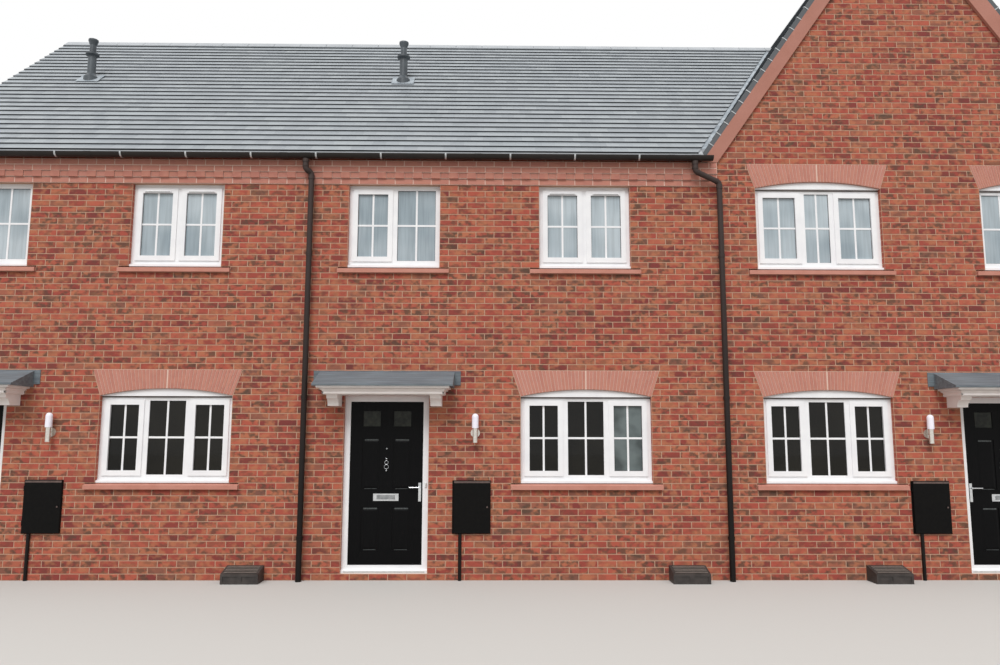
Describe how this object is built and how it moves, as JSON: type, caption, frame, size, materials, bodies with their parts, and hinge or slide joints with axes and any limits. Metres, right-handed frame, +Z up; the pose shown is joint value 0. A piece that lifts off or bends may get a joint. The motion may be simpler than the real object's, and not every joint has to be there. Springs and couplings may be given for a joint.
{
  "type": "terraced house row",
  "caption": "Row of hollow two-storey brick terraced houses with a front gable, hinged front doors, canopies, windows and hinged meter doors",
  "frame": {"origin": "on the ground under the middle of the row", "axes": "X runs along the row to the right seen from the front, Y runs from front to back, Z is up"},
  "size_m": [15.1876, 7.633, 8.9937],
  "materials": {
    "brick": "multi red facing brick in buff mortar",
    "party_block": "plain masonry",
    "light_brick": "lighter rubbed brick",
    "sill_stone": "pink brown cast stone",
    "band_stone": "smooth pink render",
    "screed": "floated concrete",
    "floor_board": "chipboard",
    "roof_tile": "smooth grey concrete tile",
    "lead": "weathered lead",
    "vent_plastic": "dark grey plastic",
    "black_plastic": "black plastic",
    "strap_steel": "galvanised",
    "white_plastic": "white plastic",
    "pane": "clear sealed unit",
    "door_black": "black moulded door skin",
    "chrome": "polished",
    "hinge_steel": "satin",
    "white_moulding": "white moulded glass fibre",
    "opal": "opal",
    "cabinet_black": "black",
    "housing_grey": "grey brown plastic"
  },
  "bodies": {
    "building": {"ground_floor": "screed", "first_floor": "floor_board", "front_wall_ground": "brick", "meter_piers": "brick", "front_wall_upper": "brick", "rear_wall_ground": "brick", "rear_wall_upper": "brick", "gable_walls": "brick", "walls_at_doors": "brick", "party_walls": "party_block", "window_arches": "light_brick", "window_sills": "sill_stone", "eaves_corbels": "light_brick", "raking_bands": "band_stone", "main_roof": "roof_tile", "gable_roof": "roof_tile", "ridge_tiles": "roof_tile", "valley_leads": "lead", "roof_vents": "vent_plastic", "gutters": "black_plastic", "gutter_straps": "strap_steel", "downpipes": "black_plastic", "window_frames": "white_plastic", "casements": "white_plastic", "window_glass": "pane", "door_frames": "white_plastic", "door_hinges": "hinge_steel", "rear_doors": "door_black", "canopy_roofs": "lead", "canopy_cornices": "white_moulding", "canopy_brackets": "white_moulding", "wall_light_holders": "hinge_steel", "wall_light_shades": "opal", "meter_cabinets": "cabinet_black", "meter_conduits": "cabinet_black", "gas_housings": "housing_grey"},
    "left_door": {"left_door": "door_black", "left_door_fittings": "chrome"},
    "left_meter_door": {"left_meter_door": "cabinet_black"},
    "middle_door": {"middle_door": "door_black", "middle_door_fittings": "chrome"},
    "middle_meter_door": {"middle_meter_door": "cabinet_black"},
    "right_door": {"right_door": "door_black", "right_door_fittings": "chrome"},
    "right_meter_door": {"right_meter_door": "cabinet_black"}
  },
  "joints": [
    {"name": "left_door_hinge", "type": "hinge", "parent": "building", "child": "left_door", "pos_m": [-6.99075, -3.3505, 0.325], "axis": [0, 0, 1], "range_deg": [0, 90]},
    {"name": "middle_door_hinge", "type": "hinge", "parent": "building", "child": "middle_door", "pos_m": [-1.92825, -3.3505, 0.325], "axis": [0, 0, 1], "range_deg": [0, 90]},
    {"name": "right_door_hinge", "type": "hinge", "parent": "building", "child": "right_door", "pos_m": [6.44825, -3.3505, 0.325], "axis": [0, 0, -1], "range_deg": [0, 90]},
    {"name": "left_meter_hinge", "type": "hinge", "parent": "building", "child": "left_meter_door", "pos_m": [-5.73675, -3.5115, 0.629], "axis": [0, 0, -1], "range_deg": [0, 110]},
    {"name": "middle_meter_hinge", "type": "hinge", "parent": "building", "child": "middle_meter_door", "pos_m": [-0.67425, -3.5115, 0.629], "axis": [0, 0, -1], "range_deg": [0, 110]},
    {"name": "right_meter_hinge", "type": "hinge", "parent": "building", "child": "right_meter_door", "pos_m": [4.82725, -3.5115, 0.629], "axis": [0, 0, -1], "range_deg": [0, 110]}
  ]
}
